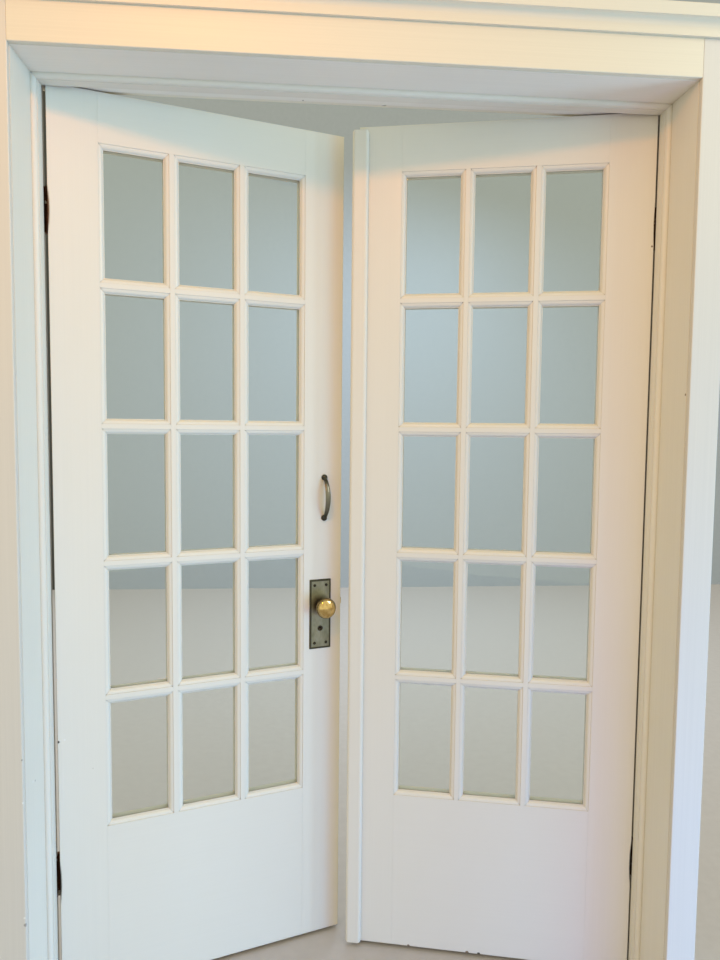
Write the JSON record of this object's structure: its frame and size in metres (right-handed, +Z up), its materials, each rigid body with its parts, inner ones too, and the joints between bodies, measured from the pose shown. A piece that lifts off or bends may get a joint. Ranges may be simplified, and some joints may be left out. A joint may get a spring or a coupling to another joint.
{
  "type": "french doors",
  "caption": "Pair of glazed wooden doors in a cased frame, with lock, pull, astragal and slide bolts, both ajar.",
  "frame": {"origin": "floor level, middle of the opening, on the plane of the shut leaves' near faces", "axes": "+X to the right seen from the near side, +Y away from the near side, +Z up"},
  "size_m": [1.632, 0.5046, 2.278],
  "materials": {
    "painted_wood": "old cream paint with worn edges",
    "glass": "clear window glass",
    "painted_iron": "rusted iron under flaking paint",
    "steel_screws": "darkened steel",
    "lock_iron": "dark iron",
    "aged_steel": "aged plating, grey green",
    "dark_bronze": "dark bronze",
    "brass": "polished brass, slightly worn",
    "spring_steel": "spring steel"
  },
  "bodies": {
    "frame": {"jamb_left": "painted_wood", "jamb_right": "painted_wood", "head_jamb": "painted_wood", "stop_left": "painted_wood", "stop_right": "painted_wood", "head_stop": "painted_wood", "casing_left": "painted_wood", "casing_right": "painted_wood", "head_casing": "painted_wood", "cap_moulding": "painted_wood", "back_casing_left": "painted_wood", "back_casing_right": "painted_wood", "back_casing_head": "painted_wood", "frame_hinge_plates_left": "painted_iron", "frame_hinge_plates_right": "painted_iron", "hinge_pins_left": "painted_iron", "hinge_pins_right": "painted_iron", "frame_hinge_screws": "steel_screws"},
    "left_leaf": {"left_hinge_stile": "painted_wood", "left_lock_stile": "painted_wood", "left_top_rail": "painted_wood", "left_bottom_rail": "painted_wood", "left_upright_bars": "painted_wood", "left_cross_bars": "painted_wood", "left_panes": "glass", "left_glazing_beads": "painted_wood", "left_hinge_plates": "painted_iron", "left_screws": "steel_screws", "lock_case": "lock_iron", "lock_faceplate": "aged_steel", "near_backplate": "aged_steel", "far_backplate": "aged_steel", "backplate_screws": "steel_screws", "pull_handle": "dark_bronze", "pull_handle_screws": "steel_screws"},
    "knob_set": {"knob_near": "brass", "knob_far": "brass", "spindle": "lock_iron", "lock_follower": "lock_iron"},
    "latch": {"latch_bolt": "brass", "latch_spring": "spring_steel"},
    "dead_bolt": {"dead_bolt": "brass"},
    "right_leaf": {"right_hinge_stile": "painted_wood", "right_meeting_stile": "painted_wood", "right_top_rail": "painted_wood", "right_bottom_rail": "painted_wood", "right_upright_bars": "painted_wood", "right_cross_bars": "painted_wood", "right_panes": "glass", "right_glazing_beads": "painted_wood", "right_hinge_plates": "painted_iron", "right_screws": "steel_screws", "astragal": "painted_wood", "strike_plate": "aged_steel", "top_bolt_case": "aged_steel", "bottom_bolt_case": "aged_steel", "bolt_screws": "steel_screws"},
    "top_bolt": {"top_bolt": "aged_steel"},
    "bottom_bolt": {"bottom_bolt": "aged_steel"}
  },
  "joints": [
    {"name": "left_leaf_hinge", "type": "hinge", "parent": "frame", "child": "left_leaf", "pos_m": [-0.7145, 0.0505, 0], "axis": [0, 0, 1], "range_deg": [-18.8, 111.2]},
    {"name": "right_leaf_hinge", "type": "hinge", "parent": "frame", "child": "right_leaf", "pos_m": [0.7145, 0.0505, 0], "axis": [0, 0, -1], "range_deg": [-13.55, 116.45]},
    {"name": "knob_turn", "type": "hinge", "parent": "left_leaf", "child": "knob_set", "pos_m": [-0.08791, 0.2337, 0.918], "axis": [-0.3223, 0.9466, 0], "range_deg": [0, 50], "stiffness_Nm_per_rad": 0.4, "springref_deg": -11.46},
    {"name": "latch_slide", "type": "slide", "parent": "left_leaf", "child": "latch", "axis": [-0.9466, -0.3223, 0], "range_m": [0, 0.012], "deforming": ["latch_spring"]},
    {"name": "dead_bolt_slide", "type": "slide", "parent": "left_leaf", "child": "dead_bolt", "axis": [0.9466, 0.3223, 0], "range_m": [0, 0.015]},
    {"name": "top_bolt_slide", "type": "slide", "parent": "right_leaf", "child": "top_bolt", "axis": [0, 0, 1], "range_m": [0, 0.025]},
    {"name": "bottom_bolt_slide", "type": "slide", "parent": "right_leaf", "child": "bottom_bolt", "axis": [0, 0, -1], "range_m": [0, 0.022]}
  ],
  "couplings": [
    {"joint": "latch_slide", "follows": "knob_turn", "m_per_rad": 0.013751}
  ]
}
